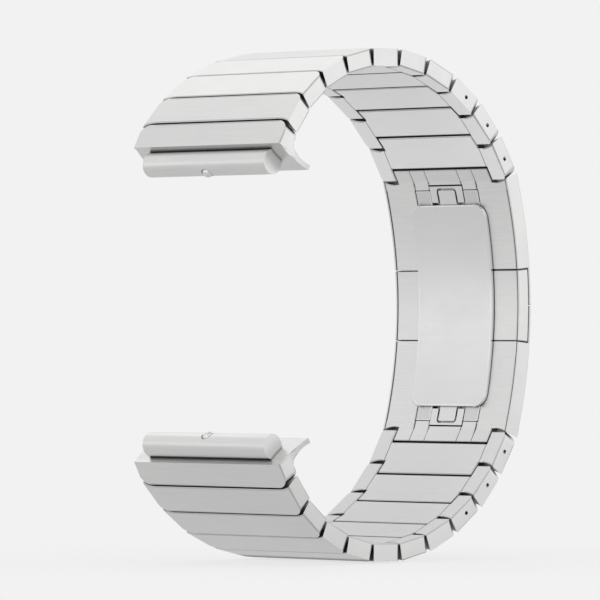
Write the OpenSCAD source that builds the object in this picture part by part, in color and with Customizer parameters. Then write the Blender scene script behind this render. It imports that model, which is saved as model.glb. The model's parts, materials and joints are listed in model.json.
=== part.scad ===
// Link bracelet for a watch: two tapering runs of flat metal links,
// a lug at each free end and a butterfly clasp that joins them.
// X runs along the wrist, Y from the watch case to the clasp, Z up.
// The origin is the middle of the watch case that the lugs hold.

/* [Band] */
// Width of the band at the clasp
clasp_w = 23.5; // [22:0.1:26]
// Width of the band at the lugs
lug_w = 27.6; // [26:0.1:30]
// Thickness of the links and of the closed clasp
thick = 2.4; // [2.4:0.05:2.7]
// Links in each half of the band
links = 10; // [7:1:10]

/* [Links] */
// Length of a full link, tip corner to tip corner
pitch = 6.1; // [5.8:0.1:6.8]
// Length of the link next to the lug
case_pitch = 5; // [4.8:0.1:6]
// Links over which the length grows to the full one
growing = 6; // [2:1:7]
// Angle between two links as the closed band rests
turn = 11.8; // [10:0.2:12.4]
// Slope of the link next to the clasp, below the level
last_slope = 58; // [50:1:64]
// Seam between two links at the outer face
seam = 0.4; // [0.4:0.02:0.55]
// Length of the horns that hold the nose of the next link
horn_l = 0.6; // [0.5:0.05:0.8]
// Width of a horn
horn_w = 2.3; // [1.8:0.1:2.6]
// Corner radius of a nose
nose_r = 1.8; // [1.6:0.1:2]
// How far a nose leans back from outer to inner face
nose_lean = 0.65; // [0.6:0.05:0.8]
// Width of the rail on each side of a tongue
rail_w = 2.9; // [2.6:0.1:3.4]
// Bore of the pin hole in the side of a removable link
release_d = 0.6; // [0.4:0.1:0.8]
// Depth of that hole
release_depth = 1; // [0.5:0.1:1.2]
// Removable links next to the clasp
removable = 3; // [1:1:5]

/* [Link hinges] */
// Diameter of a link pin
pin_d = 0.8; // [0.6:0.05:0.9]
// Diameter of the knuckle on the tongue of a link
knuckle_d = 1.54; // [1.4:0.02:1.56]
// Distance of the pin from the tip corner, towards the lug
pin_back = 0.5; // [0.4:0.05:0.6]
// Depth of the pin under the outer face
pin_depth = 1.6; // [1.55:0.01:1.6]
// Length of a tongue past its pin
heel_l = 1.7; // [1.3:0.1:1.8]
// Thickness of the heel of a tongue
heel_t = 0.7; // [0.5:0.05:0.7]
// Depth of a pin end in its rail
pin_grip = 1.5; // [1:0.1:1.8]
// Radial clearance of a running pin
run_gap = 0.05; // [0.03:0.01:0.08]
// Clearance at each side of a tongue
side_gap = 0.15; // [0.1:0.01:0.25]

/* [Lugs] */
// Length of a lug at its outer face
lug_l = 3.4; // [3:0.1:4.5]
// Diameter of the bar that slides into the watch case
bar_d = 3.4; // [3:0.1:3.6]
// Length of that bar
bar_l = 23; // [20:0.5:24]
// Depth of the fin of a lug under the outer face
fin_depth = 5.95; // [5:0.05:6]
// How far each flank of the fin flares out
fin_flare = 0.8; // [0.5:0.1:1.2]
// Diameter of the sprung detent in the bar
detent_d = 1.6; // [1.2:0.1:2]
// Travel of the detent
detent_travel = 0.4; // [0.3:0.05:0.5]

/* [Clasp] */
// Distance from the middle of the case to the clasp ends
clasp_y = 51.7; // [48:0.1:60]
// Length of the closed clasp, straight from end to end
clasp_l = 37; // [36.6:0.1:38]
// Outer radius of the clasp
clasp_r = 59.5; // [54:0.5:66]
// Outer skin of the covers
skin = 0.6; // [0.5:0.02:0.62]
// Width of the polished inner plate
plate_w = 14; // [13.8:0.1:14.6]
// Length of the polished inner plate
plate_l = 28.4; // [27.6:0.1:28.6]
// Corner radius of the plate
plate_r = 1.8; // [1:0.1:3]
// Thickness of the plate where it stands proud
plate_t = 0.47; // [0.3:0.01:0.8]
// Clearance between the plate and the faces below it
lift = 0.08; // [0.05:0.01:0.12]
// Distance of the arm pins from the middle of the clasp
arm_pin_s = 15.8; // [15.7:0.05:15.85]
// Distance of the cover pins from the middle of the clasp
cover_pin_s = 1.7; // [1.6:0.05:2]
// Diameter of a cover pin
cover_pin_d = 0.6; // [0.4:0.05:0.7]
// Length of a side button
button_l = 10.3; // [8:0.1:12]
// Travel of a side button
button_travel = 0.55; // [0.4:0.05:0.6]
// Clearance of the arms and buttons in the covers
fit = 0.1; // [0.06:0.01:0.12]

/* [Hidden] */
$fn = 48;
far = 60;
pin_r = pin_d / 2;
knuckle_r = knuckle_d / 2;
tip = horn_l - seam;
horn_r = (horn_w * horn_w + horn_l * horn_l) / (2 * horn_l);
snug = 0.01;

// Fin of a lug: its top, its root along the lug, its narrowest depth, its toe and the bow behind it
fin_top = 0.5;
fin_root = 2.2;
fin_waist = 0.9;
fin_toe = 0.7;
fin_bow = 4.35;
fin_bow_y = 4.4;
fin_bow_z = -5.4;

// Clasp arc
end_angle = asin(clasp_l / 2 / clasp_r);
centre_y = clasp_y - clasp_r * cos(end_angle);
end_s = clasp_r * end_angle * PI / 180;

// Widths across the clasp, from the middle outwards
stem_x = plate_w / 2 - 0.8;
channel_x = stem_x + 0.15;
cheek_x = channel_x + 0.95;
tab_x = 3.05;
slot_w = 0.3;
slot_x = 1.85;
slot_corner = 0.35;
tab_edge = 0.3;
strip_x = 5.85;
button_x = cheek_x + button_travel + 0.05;

// Depths in the clasp, from the outer face inwards
arm_top = skin + 0.08;
arm_bottom = 1.75;
stem_top = 1.85;
slot_top = 1.65;
cover_pin_w = 1.22;
cover_knuckle_r = 0.5;
arm_pin_w = 1.5;
arm_boss_r = 0.78;
rod_w = 1.25;
rod_r = 0.45;
button_top = skin - 0.1;
flange_top = 2;

// Places along the clasp, from the middle outwards
strip_s = plate_l / 2 + 0.4;
tab_s = arm_pin_s + 1.35;
channel_end_s = tab_s + fit;
web_s = plate_l / 2 - 0.8;
plate_channel_s = end_s - horn_l - 0.17;
plate_end_s = plate_channel_s - 0.24;
rod_x = button_x + 2.5;

function lean(k) = turn * (links - k) - last_slope;
function len(k) = k == 0 ? lug_l
  : pitch - (pitch - case_pitch) * pow(max(0, 1 - (k - 1) / growing), 2);
function way(a) = [cos(a), sin(a)];
function spot(k) = k == links ? [clasp_y, clasp_l / 2]
  : spot(k + 1) - len(k + 1) * way(lean(k + 1));
function wide(k) = clasp_w + (lug_w - clasp_w) * pow(max(0, 1 - max(k, 0) / (links - 2)), 2);
function clasp_lean() = end_angle - 90;
function next_lean(k) = k == links ? clasp_lean() : lean(k + 1);
function at(s) = s / clasp_r * 180 / PI;

LINK_NUMBERS = [for (k = [1 : links]) k];
PIN_NUMBERS = [for (k = [0 : links]) k];
SIDES = ["upper", "lower"];

// Upper half as built, or its mirror image below
module half(side) {
  if (side == "upper") children();
  else mirror([0, 0, 1]) children();
}

// Frame with Y along the band and Z out of its outer face
module frame(place, angle) {
  translate([0, place[0], place[1]]) rotate([angle, 0, 0]) children();
}

// Flat shape in the Y-Z plane, drawn out across the band
module across(half_w) {
  rotate([90, 0, 90]) linear_extrude(2 * half_w, center = true) children();
}

// Round bar along X at a point of the Y-Z plane
module bar(y, z, r, half_l) {
  translate([0, y, z]) rotate([0, 90, 0]) cylinder(r = r, h = 2 * half_l, center = true);
}

// The cut that gives the lug end of a piece its two horns
module horn_cut(w) {
  inner = w / 2 - horn_w;
  translate([0, 0, -thick - 2]) linear_extrude(thick + 4) {
    translate([-inner, -3]) square([2 * inner, 3 + horn_l]);
    for (s = [-1, 1]) translate([s * inner, horn_l - horn_r]) circle(horn_r, $fn = 96);
  }
}

// Outline of a link seen from outside, from its lead behind the tips to its nose
module outline(w0, w1, l, lead) {
  nose_y = l + tip;
  slope = (w1 - w0) / 2 / l;
  start_x = w0 / 2 - slope * lead;
  corner_y = nose_y - nose_r;
  corner_x = w0 / 2 + slope * corner_y - nose_r + 0.03;
  end_x = w0 / 2 + slope * nose_y;
  difference() {
    polygon([[-start_x, -lead], [start_x, -lead], [end_x, nose_y], [-end_x, nose_y]]);
    for (s = [-1, 1]) difference() {
      translate([s * (corner_x + nose_r), corner_y + nose_r]) square(2 * nose_r, center = true);
      translate([s * corner_x, corner_y]) circle(nose_r);
    }
  }
}

// The nose leans back so that the band can curl
module nose_cut(l, w) {
  y = l + tip;
  across(w) polygon([
    [y, 0], [y, 1], [y + 2, 1], [y + 2, -thick - 1],
    [y - nose_lean * (thick + 1) / thick, -thick - 1]
  ]);
}

// Room under the nose for the tongue of the next piece
module pocket(l, w) {
  y = l - pin_back;
  reach = sqrt(heel_l * heel_l + pow(thick - pin_depth, 2)) + 0.07;
  across(w / 2 - rail_w + side_gap) {
    translate([y, -pin_depth]) circle(knuckle_r + 0.1);
    translate([y - reach, -thick - 1]) square([reach, heel_t + 0.35 + 1]);
    translate([y, -thick - 1]) square([pin_back + tip + 1, thick - 0.75 + 1]);
  }
}

// Tongue of the piece on the clasp side of hinge k, rooted some way past the horns
module tongue(k, root) {
  bend = next_lean(k) - lean(k);
  neck_y = -pin_back * cos(bend) - pin_depth * sin(bend);
  frame(spot(k), lean(k)) across(wide(k) / 2 - rail_w) {
    translate([-pin_back, -pin_depth]) circle(knuckle_r);
    translate([-pin_back - heel_l, -thick]) square([heel_l + knuckle_r / 2, heel_t]);
    rotate(bend) translate([neck_y, -thick]) square([horn_l + root - neck_y, thick - 1.25]);
  }
}

// Bore for the running fit of hinge k
module hinge_bore(k) {
  frame(spot(k), lean(k)) bar(-pin_back, -pin_depth, pin_r + run_gap, wide(k) / 2 - rail_w + side_gap);
}

// Blind bore that grips the pin of hinge k in the two rails
module grip_bore(k) {
  frame(spot(k), lean(k)) bar(-pin_back, -pin_depth, pin_r + snug, pin_half(k) + 0.05);
}

function pin_half(k) = wide(k) / 2 - rail_w + side_gap + pin_grip;

module pin_part(k) {
  color("silver") frame(spot(k), lean(k)) bar(-pin_back, -pin_depth, pin_r, pin_half(k));
}

module link_part(k) {
  l = len(k);
  w0 = wide(k - 1);
  w1 = wide(k);
  color("gainsboro") difference() {
    union() {
      frame(spot(k - 1), lean(k)) difference() {
        translate([0, 0, -thick]) linear_extrude(thick) outline(w0, w1, l, horn_l / 2);
        horn_cut(w0);
        nose_cut(l, w1);
        pocket(l, w1);
        if (k > links - removable) for (s = [-1, 1])
          translate([s * w1 / 2, l / 2, -thick / 2]) rotate([0, 90, 0])
            cylinder(d = release_d, h = 2 * release_depth, center = true);
      }
      tongue(k - 1, 0.5);
    }
    hinge_bore(k - 1);
    grip_bore(k);
  }
}

// Side view of the fin of a lug, which hugs the end of the watch case
module fin_side() {
  difference() {
    polygon([
      [0, -fin_top], [fin_root, -fin_top], [fin_root, -fin_depth], [-fin_toe, -fin_depth],
      [-fin_toe / 2, -2]
    ]);
    translate([fin_bow_y, fin_bow_z]) circle(fin_bow, $fn = 180);
  }
}

// Front view of the fin, whose flanks flare out towards its tip
module fin_front(w) {
  rise = fin_depth - fin_waist;
  flank_r = (rise * rise + fin_flare * fin_flare) / (2 * fin_flare);
  half_w = w / 2 - 0.05;
  difference() {
    translate([-half_w - fin_flare, -fin_depth - 1]) square([2 * (half_w + fin_flare), fin_depth + 1]);
    for (s = [-1, 1]) translate([s * (half_w + flank_r), -fin_waist]) circle(flank_r, $fn = 360);
  }
}

// Lug: a nose like a link's, with the fin and the bar that slides into the case
module lug_part() {
  l = len(0);
  w = wide(0);
  bar_y = -bar_d / 2 + 0.2;
  bar_z = -thick + 0.2;
  color("gainsboro") frame(spot(0) - l * way(lean(0)), lean(0)) difference() {
    union() {
      difference() {
        translate([0, 0, -thick]) linear_extrude(thick) outline(w, w, l, 0);
        nose_cut(l, w);
        translate([0, -0.4, 0.9]) rotate([45, 0, 0]) cube([2 * w, 2, 1.2], center = true);
      }
      intersection() {
        rotate([90, 0, 0]) linear_extrude(2 * far, center = true) fin_front(w);
        across(w / 2 + fin_flare + 1) fin_side();
      }
      across(bar_l / 2) translate([bar_y, bar_z - 0.9]) square([-bar_y + 0.3, 1.8]);
      bar(bar_y, bar_z, bar_d / 2, bar_l / 2);
    }
    pocket(l, w);
    bar(l - pin_back, -pin_depth, pin_r + snug, pin_half(0) + 0.05);
    translate([0, bar_y + 0.3, bar_z]) rotate([90, 0, 0])
      cylinder(d = detent_d + 2 * run_gap, h = bar_d);
  }
}

module detent_part() {
  l = len(0);
  bar_y = -bar_d / 2 + 0.2;
  bar_z = -thick + 0.2;
  top = bar_y - bar_d / 2 - detent_travel + detent_d / 2;
  color("silver") frame(spot(0) - l * way(lean(0)), lean(0)) translate([0, 0, bar_z])
    rotate([90, 0, 0]) {
      translate([0, 0, -top]) sphere(d = detent_d);
      translate([0, 0, detent_travel - bar_y]) cylinder(d = detent_d, h = bar_y - detent_travel - top);
    }
}

// Curved layer of the clasp between two depths, two widths and two places
module layer(s0, s1, w0, w1, x0, x1) {
  translate([0, centre_y, 0]) rotate([90, 0, 90]) rotate([0, 0, at(s0)])
    rotate_extrude(angle = at(s1 - s0), $fn = 180)
      translate([clasp_r - w1, x0]) square([w1 - w0, x1 - x0]);
}

// Point of the clasp at a place and a depth
function clasp_point(s, w) =
  [centre_y + (clasp_r - w) * cos(at(s)), (clasp_r - w) * sin(at(s))];

module clasp_bar(s, w, r, half_l) {
  point = clasp_point(s, w);
  bar(point[0], point[1], r, half_l);
}

// Slot around the spring tongue in each end of the plate, with a foot along the panel on each side
module tongue_slot() {
  start_z = plate_l / 2 + 0.05;
  foot_z = start_z + slot_w;
  end_z = clasp_point(plate_end_s - tab_edge, thick)[1];
  inner_x = slot_x - slot_w;
  for (m = [0, 1]) mirror([m, 0, 0]) polygon([
    [0, end_z], [slot_x - slot_corner, end_z], [slot_x, end_z - slot_corner], [slot_x, foot_z],
    [tab_x + 1, foot_z], [tab_x + 1, start_z], [inner_x, start_z],
    [inner_x, end_z - slot_w - slot_corner / 2], [inner_x - slot_corner / 2, end_z - slot_w],
    [0, end_z - slot_w]
  ]);
}

module plate_part() {
  plate_low = thick + lift;
  half_l = plate_l / 2;
  half_w = plate_w / 2;
  color("whitesmoke") difference() {
    union() {
      intersection() {
        layer(-half_l - 1, half_l + 1, plate_low, plate_low + plate_t, -half_w, half_w);
        rotate([90, 0, 180]) linear_extrude(2 * far, center = true) {
          square([plate_w - 2 * plate_r, plate_l], center = true);
          square([plate_w, plate_l - 2 * plate_r], center = true);
          for (a = [-1, 1]) for (b = [-1, 1])
            translate([a * (half_w - plate_r), b * (half_l - plate_r)]) circle(plate_r);
        }
      }
      layer(-half_l + 0.3, half_l - 0.3, stem_top, plate_low + 0.1, -stem_x, stem_x);
      for (m = [0, 1]) mirror([0, 0, m])
        layer(half_l - 0.6, plate_end_s, skin + 0.15, thick, -tab_x, tab_x);
      layer(-0.6, 0.6, rod_w, stem_top + 0.1, -stem_x, stem_x);
      clasp_bar(0, rod_w, rod_r, rod_x);
    }
    for (m = [0, 1]) mirror([0, 0, m]) {
      clasp_bar(arm_pin_s, arm_pin_w, pin_r + run_gap, tab_x + 1);
      intersection() {
        layer(half_l - 0.5, plate_end_s - 0.1, slot_top, thick + 1, -tab_x - 1, tab_x + 1);
        rotate([90, 0, 180]) linear_extrude(2 * far, center = true) tongue_slot();
      }
    }
  }
}

// Side view of an arm: its bow between two knuckles, and the foot that shows in the clasp
module arm_side() {
  translate(clasp_point(cover_pin_s, cover_pin_w)) circle(cover_knuckle_r);
  bow(cover_pin_s, arm_pin_s, arm_top, arm_bottom);
  translate(clasp_point(arm_pin_s, arm_pin_w)) circle(arm_boss_r);
  bow(strip_s, tab_s, arm_bottom - 0.1, thick);
}

// Side view of a piece of the clasp arc between two places and two depths
module bow(s0, s1, w0, w1) {
  difference() {
    intersection() {
      translate([centre_y, 0]) circle(clasp_r - w0, $fn = 1440);
      polygon([clasp_point(s0, -1), clasp_point(s0, 4), clasp_point(s1, 4), clasp_point(s1, -1)]);
    }
    translate([centre_y, 0]) circle(clasp_r - w1, $fn = 1440);
  }
}

module arm_part() {
  color("silver") difference() {
    union() {
      across(strip_x) arm_side();
      clasp_bar(cover_pin_s, cover_pin_w, cover_knuckle_r - 0.02, channel_x - fit);
    }
    layer(web_s, end_s + 1, 0, thick + 1, -tab_x - fit, tab_x + fit);
    clasp_bar(cover_pin_s, cover_pin_w, cover_pin_d / 2 + run_gap, far);
    clasp_bar(arm_pin_s, arm_pin_w, pin_r + snug, strip_x - 0.3);
  }
}

module arm_pin_part() {
  color("silver") clasp_bar(arm_pin_s, arm_pin_w, pin_r, strip_x - 0.35);
}

module cover_pin_part() {
  color("silver") clasp_bar(cover_pin_s, cover_pin_w, cover_pin_d / 2, cheek_x - 0.25);
}

// Fine line cut along the inner edge of a rail or button
module edge_line(s0, s1) {
  for (m = [0, 1]) mirror([m, 0, 0])
    layer(s0, s1, thick - 0.15, thick + 1, clasp_w / 2 - 0.4, clasp_w / 2 - 0.25);
}

module cover_part() {
  half_w = clasp_w / 2;
  button_s = button_l / 2 + fit;
  color("gainsboro") difference() {
    union() {
      difference() {
        layer(0.05, end_s, 0, thick, -half_w, half_w);
        layer(-1, plate_l / 2 + 0.2, skin, thick + 1, -channel_x, channel_x);
        layer(0, channel_end_s, skin, thick + 1, -strip_x - fit, strip_x + fit);
        layer(1, plate_channel_s, skin + 0.05, thick + 1, -tab_x - fit, tab_x + fit);
        layer(-1, 0.65, skin, thick + 1, -cheek_x, cheek_x);
        for (m = [0, 1]) mirror([m, 0, 0]) {
          layer(-1, button_s, button_top - fit, thick + 1, cheek_x, half_w + 1);
          layer(-1, button_s, flange_top - fit, thick + 1, channel_x - 0.1, half_w + 1);
        }
        frame(spot(links), clasp_lean()) horn_cut(clasp_w);
      }
      tongue(links, 0.1);
    }
    hinge_bore(links);
    clasp_bar(cover_pin_s, cover_pin_w, cover_pin_d / 2 + snug, cheek_x - 0.2);
    edge_line(button_s, end_s);
    for (x = [tab_x, strip_x]) for (s = [-1, 1]) {
      frame(spot(links), lean(links)) translate([s * x, -1.7, -thick]) cube([0.1, 2.6, 0.2], center = true);
      frame(spot(links), clasp_lean()) translate([s * x, 0.7, -thick]) cube([0.1, 1.9, 0.2], center = true);
    }
  }
}

module button_part() {
  half_l = button_l / 2;
  half_w = clasp_w / 2;
  color("gainsboro") difference() {
    union() {
      layer(-half_l, half_l, button_top, thick, button_x, half_w);
      layer(-half_l, half_l, flange_top, thick, plate_w / 2 - 0.05, button_x + 0.1);
    }
    point = clasp_point(0, rod_w);
    translate([button_x - 1, point[0], point[1]]) rotate([0, 90, 0])
      cylinder(r = rod_r + run_gap, h = rod_x - button_x + 1 + button_travel + 0.1);
    edge_line(-half_l - 1, half_l + 1);
  }
}

plate_part();  // clasp_plate
button_part();  // button_right
mirror([1, 0, 0]) button_part();  // button_left
for (side = SIDES) half(side) {
  arm_part();
  arm_pin_part();
  cover_part();
  cover_pin_part();
  lug_part();
  detent_part();
  for (k = LINK_NUMBERS) link_part(k);
  for (k = PIN_NUMBERS) pin_part(k);
}
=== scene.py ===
"""Link watch bracelet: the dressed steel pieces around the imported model, and a studio stage."""

import json
import math

import bmesh
import bpy
from mathutils import Matrix, Vector


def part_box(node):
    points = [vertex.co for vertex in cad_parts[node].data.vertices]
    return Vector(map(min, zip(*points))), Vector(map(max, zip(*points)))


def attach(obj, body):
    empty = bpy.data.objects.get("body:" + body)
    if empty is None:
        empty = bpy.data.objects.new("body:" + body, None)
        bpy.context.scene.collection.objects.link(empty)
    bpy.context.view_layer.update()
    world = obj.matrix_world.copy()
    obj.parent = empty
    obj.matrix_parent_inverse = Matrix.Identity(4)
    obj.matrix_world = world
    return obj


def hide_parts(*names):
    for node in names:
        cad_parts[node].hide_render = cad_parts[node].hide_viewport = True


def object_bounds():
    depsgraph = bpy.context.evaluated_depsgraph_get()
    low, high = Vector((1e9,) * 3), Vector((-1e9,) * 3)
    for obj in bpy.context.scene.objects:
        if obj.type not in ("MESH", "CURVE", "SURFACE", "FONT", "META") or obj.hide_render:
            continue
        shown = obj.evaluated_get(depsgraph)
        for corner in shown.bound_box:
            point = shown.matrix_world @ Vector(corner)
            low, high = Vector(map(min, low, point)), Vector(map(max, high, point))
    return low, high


bl_info = {
    "name": "Link watch bracelet",
    "version": (1, 0, 0),
    "blender": (4, 5, 0),
    "location": "View3D > Sidebar > Bracelet",
    "description": "Dresses the links, lugs, pins and butterfly clasp of a steel link bracelet",
    "category": "Object",
}

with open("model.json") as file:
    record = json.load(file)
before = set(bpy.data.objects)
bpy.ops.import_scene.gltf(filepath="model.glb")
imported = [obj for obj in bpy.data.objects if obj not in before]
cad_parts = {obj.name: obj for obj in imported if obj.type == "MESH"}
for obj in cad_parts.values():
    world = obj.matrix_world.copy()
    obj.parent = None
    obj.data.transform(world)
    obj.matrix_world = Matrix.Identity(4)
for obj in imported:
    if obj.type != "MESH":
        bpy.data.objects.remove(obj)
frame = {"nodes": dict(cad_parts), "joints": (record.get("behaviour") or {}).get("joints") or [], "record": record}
CAD_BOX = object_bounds()
NODES = frame["nodes"]
JOINTS = {j["name"]: j for j in frame["joints"]}
BODY_OF = {
    node: body
    for body, nodes in frame["record"]["behaviour"]["bodies"].items()
    for node in nodes
}
MM = 0.001
SIDES = ("upper", "lower")
LINKS_PER_SIDE = sum(node.startswith("link_") for node in NODES) // 2
# Links next to the clasp, on each side of it, that have holes and can be taken out
REMOVABLE = 3
# Turn of each link against the next, and slope of the link at the clasp, in degrees
LINK_TURN = 11.8
LAST_SLOPE = 58
# Place of the side hole of a removable link against the hinge at its clasp end
HOLE_BEHIND_HINGE = 2.55 * MM
HOLE_OVER_HINGE = 0.4 * MM
# Inner face under a link's hinge, and the ends of a rail line against the pocket and the horns
HINGE_OVER_INNER = 0.8 * MM
POCKET_BEHIND_HINGE = 1.99 * MM
HORNS_BEFORE_HINGE = 0.83 * MM
# Middle of the clasp's curve, the plane that it lies in, and how squarely a face of it looks out
CLASP_CENTRE = Vector((0, -4.851 * MM, 0))
ACROSS = Vector((0, 1, 1))
CURVE_FACING = 0.985
# How a CAD mesh is merged: the distance of doubles, and the turn below which faces are one flat face
DOUBLES_APART = 0.002 * MM
FLAT_TURN = math.radians(0.03)
# Which edges are bevelled: the turn across them, their length and the room beside them in bevel widths
SHARP_TURN = math.radians(28)
LEAST_LENGTH = 1.5
LEAST_ROOM = 2.5
BEVEL_SEGMENTS = 3
# Material slots of a dressed piece: its faces, its bevels and the faces that look into the loop.
# The cut of the rail lines adds an empty third slot to a link, so there these faces are plain grey
# and the rougher steel inside, painted lighter, in the fourth slot, isn't used
FACE_SLOT = 0
EDGE_SLOT = 1
INNER_SLOT = 2
# How far from the inmost point of the clasp plate the rim of its panel reaches
PANEL_RIM_REACH = 0.1 * MM
# The turn below which two faces shade as one, and how squarely a face looks into the loop
SMOOTH_TURN = math.radians(26)
INWARD_FACING = 0.75
# Where most values of a noise lie
NOISE_LOW = 0.3
NOISE_HIGH = 0.7
# Spots per metre of the broad tone and of the handling marks on steel, along X, Y and Z
TONE_SCALE = (70, 110, 110)
MARK_SCALE = (260, 420, 420)
# What the broad tone multiplies the steel's colour by, at its darkest and lightest
TONE_DARK = (0.965, 0.965, 0.97)
TONE_LIGHT = (1, 1, 0.995)
# Depth of a brush stroke, and how much smoother or rougher the strokes are than the steel
BRUSH_DEPTH = 0.004 * MM
STROKE_SMOOTHER = 0.05
STROKE_ROUGHER = 0.06
# Painted shade in seams and holes: the openness at which it is darkest and at which it ends, and how dark it gets
SEAM_SHUT = 0.2
SEAM_OPEN = 0.75
PAINTED_SHADE_DARKEST = 0.1
# Shank and dome of a pin head, the dome's height and width against its radius
HEAD_LENGTH = 0.3 * MM
HEAD_DOME = 0.25
HEAD_SIDES = 24
DOME_RINGS = 8
DOME_WIDTH = 0.96
# Camera of the photograph, by the fit to the corners of the links
CAMERA_YAW = math.radians(43.6)
CAMERA_PITCH = math.radians(-0.34)
CAMERA_DISTANCE = 0.745
CAMERA_RIGHT = 13.79 * MM
CAMERA_UP = 0.58 * MM
FOCAL_PIXELS = 5536
FRAME_PIXELS = 600
SENSOR_MM = 36
CAMERA_NEAR = 0.02
CAMERA_FAR = 20
# Floor: its half size, its place under the bracelet, the ring in which it fades into the backdrop,
# how much of it shows inside that ring, and the grey that the steel sees in its place
FLOOR_REACH = 0.4
FLOOR_GAP = 0.2 * MM
FLOOR_MIDDLE_Y = 26 * MM
FADE_START = 30 * MM
FADE_END = 85 * MM
FLOOR_SHARE = 0.18
FLOOR_IN_STEEL = 0.68
# Where the lamps aim, and each lamp's place, size and power against the key
LAMP_TARGET = (0, 0.027, 0)
LAMPS = {
    "key box": ((-0.52, 0.3, 0.62), (0.6, 0.6), 1),
    "side box": ((0.6, 0.65, 0.2), (0.6, 0.6), 1.15),
    "rim box": ((0.15, -0.9, 0), (0.3, 0.8), 2.4),
    "front box": ((-0.6, -0.6, -0.15), (0.5, 0.7), 0.75),
}


# Sizes and colours


class BandLook(bpy.types.PropertyGroup):
    """Edges and steel of the band and the lugs"""

    edge: bpy.props.FloatProperty(
        name="Edge", description="Width of the bevel on the long edges of links and lugs",
        default=0.2 * MM, min=0, max=0.3 * MM, precision=5, subtype="DISTANCE", unit="LENGTH",
    )
    steel: bpy.props.FloatVectorProperty(
        name="Steel", description="Colour of the brushed steel",
        default=(0.80, 0.80, 0.795), min=0, max=1, subtype="COLOR",
    )
    rail: bpy.props.FloatProperty(
        name="Rail", description="Width of the rail on each side of the inner face of a link",
        default=2.75 * MM, min=1 * MM, max=4 * MM, precision=5, subtype="DISTANCE", unit="LENGTH",
    )
    line: bpy.props.FloatProperty(
        name="Rail line", description="Width of the fine line beside each rail",
        default=0.1 * MM, min=0.02 * MM, max=0.3 * MM, precision=5, subtype="DISTANCE", unit="LENGTH",
    )
    line_depth: bpy.props.FloatProperty(
        name="Rail line depth", description="Depth of the fine line beside each rail",
        default=0.12 * MM, min=0.02 * MM, max=0.3 * MM, precision=5, subtype="DISTANCE", unit="LENGTH",
    )
    grain: bpy.props.FloatProperty(
        name="Grain", description="Spacing of the brush strokes, which run across the band",
        default=0.16 * MM, min=0.02 * MM, max=1 * MM, precision=5, subtype="DISTANCE", unit="LENGTH",
    )
    roughness: bpy.props.FloatProperty(
        name="Roughness", description="Roughness of the brushed steel",
        default=0.36, min=0.05, max=1,
    )


class ClaspLook(bpy.types.PropertyGroup):
    """Edges and steel of the clasp"""

    edge: bpy.props.FloatProperty(
        name="Edge", description="Width of the bevel on the clasp's covers, arms and buttons",
        default=0.14 * MM, min=0, max=0.3 * MM, precision=5, subtype="DISTANCE", unit="LENGTH",
    )
    plate_edge: bpy.props.FloatProperty(
        name="Plate edge", description="Width of the rounded rim of the inner plate's panel",
        default=0.28 * MM, min=0, max=0.45 * MM, precision=5, subtype="DISTANCE", unit="LENGTH",
    )
    plate_steel: bpy.props.FloatVectorProperty(
        name="Plate steel", description="Colour of the inner plate",
        default=(0.83, 0.83, 0.83), min=0, max=1, subtype="COLOR",
    )


class PinLook(bpy.types.PropertyGroup):
    """Pins, and the pin heads in the sides of the removable links"""

    head_radius: bpy.props.FloatProperty(
        name="Head radius", description="Radius of the pin head sunk in each side hole",
        default=0.27 * MM, min=0.05 * MM, max=0.3 * MM, precision=5, subtype="DISTANCE", unit="LENGTH",
    )
    head_depth: bpy.props.FloatProperty(
        name="Head depth", description="How far the pin head lies below the side of the link",
        default=0.65 * MM, min=0.05 * MM, max=0.9 * MM, precision=5, subtype="DISTANCE", unit="LENGTH",
    )
    steel: bpy.props.FloatVectorProperty(
        name="Pin steel", description="Colour of the pins",
        default=(0.42, 0.42, 0.41), min=0, max=1, subtype="COLOR",
    )


class StageLook(bpy.types.PropertyGroup):
    """Backdrop and lamps"""

    backdrop: bpy.props.FloatVectorProperty(
        name="Backdrop", description="Colour of the floor and backdrop as the camera sees them",
        default=(0.887, 0.887, 0.887), min=0, max=1, subtype="COLOR",
    )
    room: bpy.props.FloatProperty(
        name="Room", description="Strength of the light that comes from all around",
        default=0.84, min=0, max=2,
    )
    key: bpy.props.FloatProperty(
        name="Key", description="Power of the main soft box",
        default=0.32, min=0, max=20, subtype="POWER", unit="POWER",
    )


# Materials


def shader(name):
    """A new material, its node tree, its shader, and a function that adds a node with its settings."""
    material = bpy.data.materials.new(name)
    material.use_nodes = True
    tree = material.node_tree
    principled = tree.nodes["Principled BSDF"]

    def add(kind, **values):
        node = tree.nodes.new(kind)
        for key, value in values.items():
            setattr(node, key, value)
        return node

    return material, tree, principled, add


def stretched_noise(tree, add, scale, detail=3, roughness=0.55):
    """Noise on Object coordinates, stretched by a Mapping node's scale."""
    place = add("ShaderNodeTexCoord")
    mapping = add("ShaderNodeMapping")
    mapping.inputs["Scale"].default_value = scale
    noise = add("ShaderNodeTexNoise")
    noise.inputs["Scale"].default_value = 1
    noise.inputs["Detail"].default_value = detail
    noise.inputs["Roughness"].default_value = roughness
    tree.links.new(place.outputs["Object"], mapping.inputs["Vector"])
    tree.links.new(mapping.outputs["Vector"], noise.inputs["Vector"])
    return noise.outputs["Fac"]


def ramp(tree, add, source, low, high):
    """A noise value turned into a colour between two colours."""
    node = add("ShaderNodeValToRGB")
    node.color_ramp.elements[0].position = NOISE_LOW
    node.color_ramp.elements[1].position = NOISE_HIGH
    node.color_ramp.elements[0].color = (*low, 1)
    node.color_ramp.elements[1].color = (*high, 1)
    tree.links.new(source, node.inputs["Fac"])
    return node.outputs["Color"]


def span(tree, add, source, low, high):
    """A noise value turned into a number between low and high."""
    node = add("ShaderNodeMapRange")
    node.inputs["From Min"].default_value = NOISE_LOW
    node.inputs["From Max"].default_value = NOISE_HIGH
    node.inputs["To Min"].default_value = low
    node.inputs["To Max"].default_value = high
    tree.links.new(source, node.inputs["Value"])
    return node.outputs["Result"]


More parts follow.
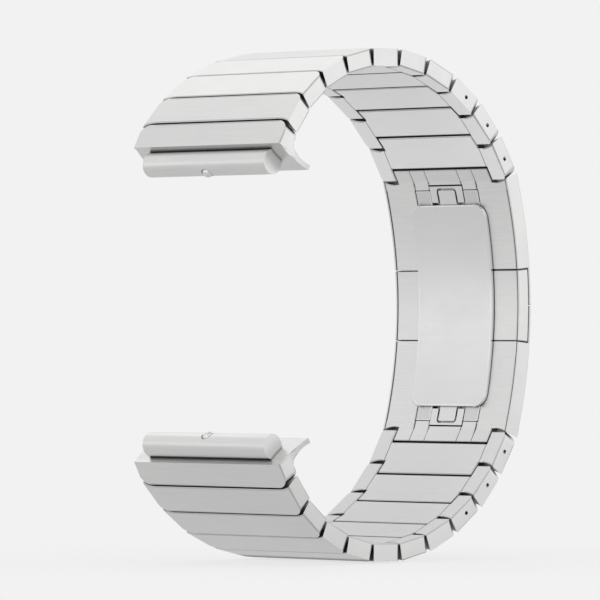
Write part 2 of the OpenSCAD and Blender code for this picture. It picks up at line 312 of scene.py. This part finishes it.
def tinted(colour, factor):
    """A colour made lighter or darker by a factor."""
    return tuple(min(1, c * factor) for c in colour)


def painted_seam_shade(tree, add, source, reach):
    """Painted shade: a colour that darkens in seams and holes."""
    hollow = add("ShaderNodeAmbientOcclusion", samples=8)
    hollow.inputs["Distance"].default_value = reach
    shade = add("ShaderNodeMapRange")
    shade.inputs["From Min"].default_value = SEAM_SHUT
    shade.inputs["From Max"].default_value = SEAM_OPEN
    shade.inputs["To Min"].default_value = PAINTED_SHADE_DARKEST
    mix = add("ShaderNodeMix", data_type="RGBA", blend_type="MULTIPLY")
    mix.inputs["Factor"].default_value = 1
    tree.links.new(hollow.outputs["AO"], shade.inputs["Value"])
    tree.links.new(source, mix.inputs["A"])
    tree.links.new(shade.outputs["Result"], mix.inputs["B"])
    return mix.outputs["Result"]


def steel(name, colour, roughness, grain, stroke, bump, smudge, contrast=0.04, hollow=0.8 * MM):
    """Steel with strokes along X, a broad uneven tone, faint handling marks and painted shade in its seams.

    grain and stroke are the width and length of a brush stroke, smudge is how much the marks change the
    roughness, contrast is that of the strokes' tone, and hollow is how far the painted shade reaches into seams
    and holes.
    """
    _, tree, principled, add = shader(name)
    lines = stretched_noise(tree, add, (1 / stroke, 1 / grain, 1 / grain), detail=4, roughness=0.6)
    broad = stretched_noise(tree, add, TONE_SCALE, detail=2)
    marks = stretched_noise(tree, add, MARK_SCALE, detail=5, roughness=0.65)
    tone = ramp(tree, add, lines, tinted(colour, 1 - contrast), tinted(colour, 1 + contrast))
    cloud = ramp(tree, add, broad, TONE_DARK, TONE_LIGHT)
    mix = add("ShaderNodeMix", data_type="RGBA", blend_type="MULTIPLY")
    mix.inputs["Factor"].default_value = 1
    tree.links.new(tone, mix.inputs["A"])
    tree.links.new(cloud, mix.inputs["B"])
    # Painted shade: the colour darkens in seams and holes
    shaded = painted_seam_shade(tree, add, mix.outputs["Result"], hollow)
    tree.links.new(shaded, principled.inputs["Base Color"])
    stroke_gloss = span(tree, add, lines, roughness - STROKE_SMOOTHER, roughness + STROKE_ROUGHER)
    mark_gloss = span(tree, add, marks, -smudge, smudge)
    total = add("ShaderNodeMath", operation="ADD")
    tree.links.new(stroke_gloss, total.inputs[0])
    tree.links.new(mark_gloss, total.inputs[1])
    tree.links.new(total.outputs["Value"], principled.inputs["Roughness"])
    relief = add("ShaderNodeBump")
    relief.inputs["Strength"].default_value = bump
    relief.inputs["Distance"].default_value = BRUSH_DEPTH
    tree.links.new(lines, relief.inputs["Height"])
    tree.links.new(relief.outputs["Normal"], principled.inputs["Normal"])
    principled.inputs["Metallic"].default_value = 1


def finishes(scene):
    """The materials of the bracelet, made once."""
    if "brushed steel" not in bpy.data.materials:
        band, clasp, pins = scene.band_look, scene.clasp_look, scene.pin_look
        steel(
            "brushed steel", band.steel, band.roughness,
            grain=band.grain, stroke=6 * MM, bump=0.5, smudge=0.03,
        )
        steel(
            "satin steel", tinted(band.steel, 0.93), band.roughness + 0.06,
            grain=band.grain, stroke=3 * MM, bump=0.4, smudge=0.03,
        )
        # Faces that look into the loop: a rougher finish, and painted light, a tint lighter than the brushed steel
        steel(
            "steel inside, painted lighter", tinted(band.steel, 1.06), band.roughness + 0.1,
            grain=band.grain, stroke=6 * MM, bump=0.4, smudge=0.03,
        )
        steel(
            "plate steel", clasp.plate_steel, roughness=0.34,
            grain=0.12 * MM, stroke=9 * MM, bump=0.15, smudge=0.04, contrast=0.012, hollow=0.3 * MM,
        )
        # Bevels: a darker copy of the band steel, painted shade on the rounded edges
        steel(
            "edge steel with painted shade", tinted(band.steel, 0.72), roughness=0.3,
            grain=band.grain, stroke=4 * MM, bump=0.2, smudge=0.03,
        )
        # Polished rims: a glossier finish, and a lighter copy of the plate steel as a painted highlight
        steel(
            "rim polish with painted highlight", tinted(clasp.plate_steel, 1.04), roughness=0.14,
            grain=0.4 * MM, stroke=8 * MM, bump=0.1, smudge=0.03, contrast=0.02, hollow=0.2 * MM,
        )
        steel(
            "pin steel", pins.steel, roughness=0.3,
            grain=0.1 * MM, stroke=1 * MM, bump=0.3, smudge=0.02,
        )
    return bpy.data.materials


# Dressing


def merged_copy(node):
    """An object with a copy of a CAD node's mesh, its doubles and its flat faces merged."""
    mesh = NODES[node].data.copy()
    mesh.name = "dressed_" + node
    mesh.materials.clear()
    work = bmesh.new()
    work.from_mesh(mesh)
    bmesh.ops.remove_doubles(work, verts=work.verts, dist=DOUBLES_APART)
    bmesh.ops.dissolve_limit(work, angle_limit=FLAT_TURN, verts=work.verts, edges=work.edges)
    work.to_mesh(mesh)
    work.free()
    piece = bpy.data.objects.new("dressed_" + node, mesh)
    bpy.context.scene.collection.objects.link(piece)
    return piece


def settle(piece):
    """Applies a piece's modifiers, which leaves one plain mesh."""
    evaluated = piece.evaluated_get(bpy.context.evaluated_depsgraph_get())
    mesh = bpy.data.meshes.new_from_object(evaluated)
    piece.modifiers.clear()
    old = piece.data
    piece.data = mesh
    bpy.data.meshes.remove(old)


def cut_lines(piece, cutter):
    """Cuts another object's mesh out of a piece, and removes that object."""
    bpy.context.scene.collection.objects.link(cutter)
    cut = piece.modifiers.new("Lines", "BOOLEAN")
    cut.operation = "DIFFERENCE"
    cut.solver = "MANIFOLD"
    cut.object = cutter
    settle(piece)
    bpy.data.objects.remove(cutter)


def bevel_edges(piece, width, panel):
    """Bevels a piece's long outer edges, or only the rim of its panel, next to the clasp's centre."""
    work = bmesh.new()
    work.from_mesh(piece.data)
    weight = work.edges.layers.float.new("bevel_weight_edge")
    reach = {v: ((v.co - CLASP_CENTRE) * ACROSS).length for v in work.verts}
    panel_reach = min(reach.values()) + PANEL_RIM_REACH
    for edge in work.edges:
        if not edge.is_convex or edge.calc_face_angle(0) < SHARP_TURN:
            continue
        if panel:
            chosen = max(reach[v] for v in edge.verts) < panel_reach
        else:
            length = edge.calc_length()
            smaller_face = min(f.calc_area() for f in edge.link_faces)
            chosen = length > LEAST_LENGTH * width and smaller_face > LEAST_ROOM * width * length
        if chosen:
            edge[weight] = 1
    work.to_mesh(piece.data)
    work.free()
    for polygon in piece.data.polygons:
        polygon.use_smooth = True
    bevel = piece.modifiers.new("Edge", "BEVEL")
    bevel.limit_method = "WEIGHT"
    bevel.width = width
    bevel.segments = BEVEL_SEGMENTS
    bevel.use_clamp_overlap = False
    bevel.material = EDGE_SLOT
    settle(piece)


def shade_by_area(piece):
    """Normals that average the faces around a corner by their area, where they turn little."""
    mesh = piece.data
    around = [[] for _ in mesh.vertices]
    for polygon in mesh.polygons:
        for vertex in polygon.vertices:
            around[vertex].append(polygon)
    normals = [None] * len(mesh.loops)
    alike = math.cos(SMOOTH_TURN)
    for polygon in mesh.polygons:
        for corner in polygon.loop_indices:
            beside = around[mesh.loops[corner].vertex_index]
            faces = [f for f in beside if f.normal.dot(polygon.normal) > alike]
            total = sum((f.normal * f.area for f in faces), Vector())
            normals[corner] = (total if total.length else polygon.normal).normalized()
    mesh.normals_split_custom_set(normals)


def face_inwards(piece, slot):
    """Moves the faces of a piece that look into the loop to another material slot."""
    low, high = CAD_BOX
    middle = Vector((0, (low.y + high.y) / 2, 0))
    for polygon in piece.data.polygons:
        inward = middle - Vector((0, polygon.center.y, polygon.center.z))
        if polygon.material_index == FACE_SLOT and polygon.normal.dot(inward.normalized()) > INWARD_FACING:
            polygon.material_index = slot


def shade_round(piece):
    """Exact normals on the faces of a clasp piece that follow the clasp's curve."""
    mesh = piece.data
    normals = [Vector(corner.vector) for corner in mesh.corner_normals]
    for polygon in mesh.polygons:
        out = (polygon.center - CLASP_CENTRE) * ACROSS
        facing = polygon.normal.dot(out.normalized())
        if abs(facing) < CURVE_FACING:
            continue
        for corner in polygon.loop_indices:
            spoke = (mesh.vertices[mesh.loops[corner].vertex_index].co - CLASP_CENTRE) * ACROSS
            normals[corner] = spoke.normalized() * math.copysign(1, facing)
    mesh.normals_split_custom_set(normals)


def link_axes(side, number):
    """Directions along a link, towards the clasp, and out of its outer face."""
    sign = 1 if side == "upper" else -1
    lean = math.radians(LINK_TURN * (LINKS_PER_SIDE - number) - LAST_SLOPE)
    along = Vector((0, math.cos(lean), sign * math.sin(lean)))
    outward = Vector((0, -math.sin(lean), sign * math.cos(lean)))
    return along, outward


def half_width(side, number):
    """Half the width of the band at a hinge, from the link on its clasp side."""
    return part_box(f"link_{side}_{min(number + 1, LINKS_PER_SIDE)}")[1].x


def rail_line_cutter(side, number, look):
    """A bar along each rail of a link, to cut the fine line between rail and tongue in the inner face."""
    along, outward = link_axes(side, number)
    hinge = Vector(JOINTS[f"turn_{side}_{number}"]["pos_m"])
    far = Vector(JOINTS[f"turn_{side}_{number - 1}"]["pos_m"])
    length = (hinge - far).dot(along) - HORNS_BEFORE_HINGE
    inner = hinge - outward * HINGE_OVER_INNER
    cutter = bmesh.new()
    for hand in (-1, 1):
        ends = []
        for back, hinge_number in ((POCKET_BEHIND_HINGE, number), (length, number - 1)):
            edge_x = half_width(side, hinge_number) - look.rail
            ends.append(inner - along * back + Vector((hand * edge_x, 0, 0)))
        middle, run = (ends[0] + ends[1]) / 2, ends[0] - ends[1]
        sideways = run.cross(outward).normalized()
        box = bmesh.ops.create_cube(cutter, size=1)["verts"]
        spread = Matrix((sideways * look.line, run, outward * 2 * look.line_depth)).transposed()
        place = Matrix.Translation(middle) @ spread.to_4x4()
        bmesh.ops.transform(cutter, matrix=place, verts=box)
    mesh = bpy.data.meshes.new("rail_lines")
    cutter.normal_update()
    bmesh.ops.recalc_face_normals(cutter, faces=cutter.faces)
    cutter.to_mesh(mesh)
    cutter.free()
    return bpy.data.objects.new("rail_lines", mesh)


def dress(node, width, main, edge, slot, inner=None, curved=False, cutter=None, panel=False):
    """Dresses one CAD node: bevelled edges, cut lines, its materials and shading, riding on its body."""
    piece = merged_copy(node)
    piece.data.materials.append(main)
    piece.data.materials.append(edge)
    bevel_edges(piece, width, panel)
    if cutter:
        cut_lines(piece, cutter)
    shade_by_area(piece)
    if curved:
        shade_round(piece)
    if inner:
        piece.data.materials.append(inner)
        face_inwards(piece, INNER_SLOT)
    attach(piece, BODY_OF[node])
    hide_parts(node)


def colour_node(node, material):
    """A CAD node that keeps its shape and gets a better material."""
    mesh_object = NODES[node]
    if not mesh_object.material_slots:
        mesh_object.data.materials.append(material)
    for slot in mesh_object.material_slots:
        slot.link = "OBJECT"
        slot.material = material


# Pin heads with geometry nodes


def pin_head_tree():
    """Geometry nodes: a pin head on each point of a cloud, lying along X with its dome towards +X."""
    tree = bpy.data.node_groups.new("pin heads", "GeometryNodeTree")
    face = tree.interface
    face.new_socket("Geometry", in_out="INPUT", socket_type="NodeSocketGeometry")
    for name in ("Radius", "Length", "Dome"):
        face.new_socket(name, in_out="INPUT", socket_type="NodeSocketFloat")
    face.new_socket("Material", in_out="INPUT", socket_type="NodeSocketMaterial")
    face.new_socket("Geometry", in_out="OUTPUT", socket_type="NodeSocketGeometry")
    nodes, links = tree.nodes, tree.links
    source = nodes.new("NodeGroupInput")
    target = nodes.new("NodeGroupOutput")
    shank = nodes.new("GeometryNodeMeshCylinder")
    shank.inputs["Vertices"].default_value = HEAD_SIDES
    shank.inputs["Side Segments"].default_value = 1
    dome = nodes.new("GeometryNodeMeshUVSphere")
    dome.inputs["Segments"].default_value = HEAD_SIDES
    dome.inputs["Rings"].default_value = DOME_RINGS
    flatten = nodes.new("GeometryNodeTransform")
    squash = nodes.new("ShaderNodeCombineXYZ")
    squash.inputs["X"].default_value = DOME_WIDTH
    squash.inputs["Y"].default_value = DOME_WIDTH
    lift = nodes.new("ShaderNodeCombineXYZ")
    half = nodes.new("ShaderNodeMath")
    half.operation = "MULTIPLY"
    half.inputs[1].default_value = 0.5
    join = nodes.new("GeometryNodeJoinGeometry")
    turn = nodes.new("GeometryNodeTransform")
    turn.inputs["Rotation"].default_value = (0, math.radians(90), 0)
    place = nodes.new("GeometryNodeInstanceOnPoints")
    real = nodes.new("GeometryNodeRealizeInstances")
    paint = nodes.new("GeometryNodeSetMaterial")
    links.new(source.outputs["Radius"], shank.inputs["Radius"])
    links.new(source.outputs["Length"], shank.inputs["Depth"])
    links.new(source.outputs["Radius"], dome.inputs["Radius"])
    links.new(source.outputs["Dome"], squash.inputs["Z"])
    links.new(source.outputs["Length"], half.inputs[0])
    links.new(half.outputs["Value"], lift.inputs["Z"])
    links.new(dome.outputs["Mesh"], flatten.inputs["Geometry"])
    links.new(squash.outputs["Vector"], flatten.inputs["Scale"])
    links.new(lift.outputs["Vector"], flatten.inputs["Translation"])
    links.new(shank.outputs["Mesh"], join.inputs["Geometry"])
    links.new(flatten.outputs["Geometry"], join.inputs["Geometry"])
    links.new(join.outputs["Geometry"], turn.inputs["Geometry"])
    links.new(source.outputs["Geometry"], place.inputs["Points"])
    links.new(turn.outputs["Geometry"], place.inputs["Instance"])
    links.new(place.outputs["Instances"], real.inputs["Geometry"])
    links.new(real.outputs["Geometry"], paint.inputs["Geometry"])
    links.new(source.outputs["Material"], paint.inputs["Material"])
    links.new(paint.outputs["Geometry"], target.inputs["Geometry"])
    return tree


def set_input(modifier, name, value):
    """Sets a modifier's input by its socket's identifier."""
    for item in modifier.node_group.interface.items_tree:
        if item.item_type == "SOCKET" and item.in_out == "INPUT" and item.name == name:
            modifier[item.identifier] = value


def hole_middle(side, number):
    """Point in the middle plane of a removable link, between the holes in its two sides."""
    along, outward = link_axes(side, number)
    hinge = Vector(JOINTS[f"turn_{side}_{number}"]["pos_m"])
    return hinge - along * HOLE_BEHIND_HINGE + outward * HOLE_OVER_HINGE


# Stage


def aimed(place, target):
    """Rotation that points an object's -Z axis from place to target."""
    return (Vector(target) - Vector(place)).to_track_quat("-Z", "Y").to_matrix().to_4x4()


def soft_box(name, place, target, size, power):
    """A rectangular lamp aimed at a point."""
    lamp = bpy.data.lights.new(name, "AREA")
    lamp.shape = "RECTANGLE"
    lamp.size, lamp.size_y = size
    lamp.energy = power
    box = bpy.data.objects.new(name, lamp)
    box.matrix_world = Matrix.Translation(place) @ aimed(place, target)
    bpy.context.scene.collection.objects.link(box)


def photo_camera():
    """Camera at the place that the photograph was taken from."""
    right = Vector((math.cos(CAMERA_YAW), math.sin(CAMERA_YAW), 0))
    level = Vector((-math.sin(CAMERA_YAW), math.cos(CAMERA_YAW), 0))
    rise = Vector((0, 0, 1))
    forward = level * math.cos(CAMERA_PITCH) - rise * math.sin(CAMERA_PITCH)
    upward = rise * math.cos(CAMERA_PITCH) + level * math.sin(CAMERA_PITCH)
    lens = bpy.data.cameras.new("camera")
    lens.lens = FOCAL_PIXELS / FRAME_PIXELS * SENSOR_MM
    lens.sensor_width = SENSOR_MM
    lens.clip_start, lens.clip_end = CAMERA_NEAR, CAMERA_FAR
    camera = bpy.data.objects.new("camera", lens)
    place = right * CAMERA_RIGHT + upward * CAMERA_UP - forward * CAMERA_DISTANCE
    turn = Matrix((right, upward, -forward)).transposed().to_4x4()
    camera.matrix_world = Matrix.Translation(place) @ turn
    bpy.context.scene.collection.objects.link(camera)
    bpy.context.scene.camera = camera


def floor_material(colour):
    """Pale floor that fades into the backdrop away from the bracelet and keeps its shadow."""
    material, tree, principled, add = shader("floor")
    principled.inputs["Base Color"].default_value = (*colour, 1)
    principled.inputs["Roughness"].default_value = 0.9
    output = tree.nodes["Material Output"]
    place = add("ShaderNodeTexCoord")
    centre = add("ShaderNodeMapping")
    centre.inputs["Location"].default_value = (0, -FLOOR_MIDDLE_Y, 0)
    reach = add("ShaderNodeVectorMath", operation="LENGTH")
    fade = add("ShaderNodeMapRange", interpolation_type="SMOOTHSTEP")
    fade.inputs["From Min"].default_value = FADE_START
    fade.inputs["From Max"].default_value = FADE_END
    fade.inputs["To Min"].default_value = FLOOR_SHARE
    fade.inputs["To Max"].default_value = 0
    clear = add("ShaderNodeBsdfTransparent")
    mix = add("ShaderNodeMixShader")
    tree.links.new(place.outputs["Object"], centre.inputs["Vector"])
    tree.links.new(centre.outputs["Vector"], reach.inputs[0])
    tree.links.new(reach.outputs["Value"], fade.inputs["Value"])
    tree.links.new(fade.outputs["Result"], mix.inputs["Fac"])
    tree.links.new(clear.outputs["BSDF"], mix.inputs[1])
    tree.links.new(principled.outputs["BSDF"], mix.inputs[2])
    # The steel sees an even grey floor, a little darker than the room
    ray = add("ShaderNodeLightPath")
    grey = add("ShaderNodeEmission")
    grey.inputs["Color"].default_value = (1, 1, 1, 1)
    grey.inputs["Strength"].default_value = FLOOR_IN_STEEL
    seen = add("ShaderNodeMixShader")
    tree.links.new(ray.outputs["Is Glossy Ray"], seen.inputs["Fac"])
    tree.links.new(mix.outputs["Shader"], seen.inputs[1])
    tree.links.new(grey.outputs["Emission"], seen.inputs[2])
    tree.links.new(seen.outputs["Shader"], output.inputs["Surface"])
    return material


def studio_world(backdrop, room):
    """Even white light from all around, and the pale backdrop where the camera looks at it."""
    world = bpy.data.worlds.new("studio")
    world.use_nodes = True
    tree = world.node_tree
    ground = tree.nodes["Background"]
    output = tree.nodes["World Output"]
    ground.inputs["Color"].default_value = (1, 1, 1, 1)
    ground.inputs["Strength"].default_value = room
    seen = tree.nodes.new("ShaderNodeBackground")
    seen.inputs["Color"].default_value = (*backdrop, 1)
    seen.inputs["Strength"].default_value = 1
    ray = tree.nodes.new("ShaderNodeLightPath")
    mix = tree.nodes.new("ShaderNodeMixShader")
    tree.links.new(ray.outputs["Is Camera Ray"], mix.inputs["Fac"])
    tree.links.new(ground.outputs["Background"], mix.inputs[1])
    tree.links.new(seen.outputs["Background"], mix.inputs[2])
    tree.links.new(mix.outputs["Shader"], output.inputs["Surface"])
    bpy.context.scene.world = world


# Operators


class BAND_OT_links(bpy.types.Operator):
    """Dress the links, the lugs and the detents in their bars"""

    bl_idname = "band.links"
    bl_label = "Links and lugs"

    def execute(self, context):
        look, steels = context.scene.band_look, finishes(context.scene)
        finish = (look.edge, steels["brushed steel"], steels["edge steel with painted shade"], "brushed", steels["steel inside, painted lighter"])
        for side in SIDES:
            for number in range(1, LINKS_PER_SIDE + 1):
                dress(f"link_{side}_{number}", *finish, cutter=rail_line_cutter(side, number, look))
            dress("lug_" + side, *finish)
            dress("detent_" + side, look.edge, steels["plate steel"], steels["plate steel"], "polished")
        return {"FINISHED"}


class BAND_OT_clasp(bpy.types.Operator):
    """Dress the covers, arms, buttons and inner plate of the clasp"""

    bl_idname = "band.clasp"
    bl_label = "Clasp"

    def execute(self, context):
        look, steels = context.scene.clasp_look, finishes(context.scene)
        # soft is the bevels' steel, painted darker as shade on the rounded edges
        brushed, soft, polished = steels["brushed steel"], steels["edge steel with painted shade"], steels["rim polish with painted highlight"]
        for side in SIDES:
            dress(
                "cover_" + side, look.edge, brushed, soft, "brushed",
                inner=steels["steel inside, painted lighter"], curved=True,
            )
            # polished is the rim steel, glossier and painted lighter as a highlight
            dress("arm_" + side, look.edge, steels["satin steel"], polished, "satin", curved=True)
        for hand in ("left", "right"):
            dress("button_" + hand, look.edge, brushed, soft, "button", curved=True)
        dress(
            "clasp_plate", look.plate_edge, steels["plate steel"], polished, "polished",
            curved=True, panel=True,
        )
        return {"FINISHED"}


class BAND_OT_pins(bpy.types.Operator):
    """Finish the hinge pins, and set pin heads in the side holes of the removable links"""

    bl_idname = "band.pins"
    bl_label = "Pins"

    def execute(self, context):
        look, steels = context.scene.pin_look, finishes(context.scene)
        for node in NODES:
            if "pin_" in node:
                colour_node(node, steels["pin steel"])
        tree = pin_head_tree()
        for side in SIDES:
            for number in range(LINKS_PER_SIDE - REMOVABLE + 1, LINKS_PER_SIDE + 1):
                self.heads(side, number, tree, look, steels["pin steel"])
        return {"FINISHED"}

    def heads(self, side, number, tree, look, material):
        """Two pin heads in one link, as one mesh on the link's body."""
        node = f"link_{side}_{number}"
        centre = hole_middle(side, number)
        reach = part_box(node)[1].x - look.head_depth - HEAD_LENGTH
        cloud = bpy.data.meshes.new("pin_heads_" + node)
        cloud.from_pydata([(reach, centre.y, centre.z), (-reach, centre.y, centre.z)], [], [])
        piece = bpy.data.objects.new("pin_heads_" + node, cloud)
        bpy.context.scene.collection.objects.link(piece)
        modifier = piece.modifiers.new("Pin heads", "NODES")
        modifier.node_group = tree
        set_input(modifier, "Radius", look.head_radius)
        set_input(modifier, "Length", HEAD_LENGTH)
        set_input(modifier, "Dome", HEAD_DOME)
        set_input(modifier, "Material", material)
        settle(piece)
        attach(piece, BODY_OF[node])


class BAND_OT_stage(bpy.types.Operator):
    """Set the floor, the backdrop, the lamps and the camera"""

    bl_idname = "band.stage"
    bl_label = "Stage"

    def execute(self, context):
        scene, look = context.scene, context.scene.stage_look
        scene.view_settings.view_transform = "Standard"
        photo_camera()
        studio_world(look.backdrop, look.room)
        floor_z = CAD_BOX[0][2] - FLOOR_GAP
        ways = ((-1, -1), (1, -1), (1, 1), (-1, 1))
        corners = [(x * FLOOR_REACH, y * FLOOR_REACH, floor_z) for x, y in ways]
        sheet = bpy.data.meshes.new("floor")
        sheet.from_pydata(corners, [], [(0, 1, 2, 3)])
        sheet.materials.append(floor_material(look.backdrop))
        floor = bpy.data.objects.new("floor", sheet)
        scene.collection.objects.link(floor)
        for name, (place, size, share) in LAMPS.items():
            soft_box(name, place, LAMP_TARGET, size, look.key * share)
        return {"FINISHED"}


class BAND_PT_panel(bpy.types.Panel):
    """Lists the bracelet's operators and looks"""

    bl_idname = "BAND_PT_panel"
    bl_label = "Bracelet"
    bl_space_type = "VIEW_3D"
    bl_region_type = "UI"
    bl_category = "Bracelet"

    def draw(self, context):
        groups = (
            ("band.links", context.scene.band_look),
            ("band.clasp", context.scene.clasp_look),
            ("band.pins", context.scene.pin_look),
            ("band.stage", context.scene.stage_look),
        )
        for name, look in groups:
            box = self.layout.box()
            box.operator(name)
            for key in look.__annotations__:
                box.prop(look, key)


CLASSES = (
    BandLook, ClaspLook, PinLook, StageLook,
    BAND_OT_links, BAND_OT_clasp, BAND_OT_pins, BAND_OT_stage, BAND_PT_panel,
)
LOOKS = {"band_look": BandLook, "clasp_look": ClaspLook, "pin_look": PinLook, "stage_look": StageLook}


def register():
    """Registers the looks, operators and panel."""
    for cls in CLASSES:
        bpy.utils.register_class(cls)
    for name, cls in LOOKS.items():
        setattr(bpy.types.Scene, name, bpy.props.PointerProperty(type=cls))


def unregister():
    """Takes back what register does."""
    for name in LOOKS:
        delattr(bpy.types.Scene, name)
    for cls in reversed(CLASSES):
        bpy.utils.unregister_class(cls)


def main():
    """Makes the whole scene."""
    register()
    bpy.ops.band.stage()
    bpy.ops.band.links()
    bpy.ops.band.clasp()
    bpy.ops.band.pins()
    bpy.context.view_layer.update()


if __name__ == "__main__":
    main()
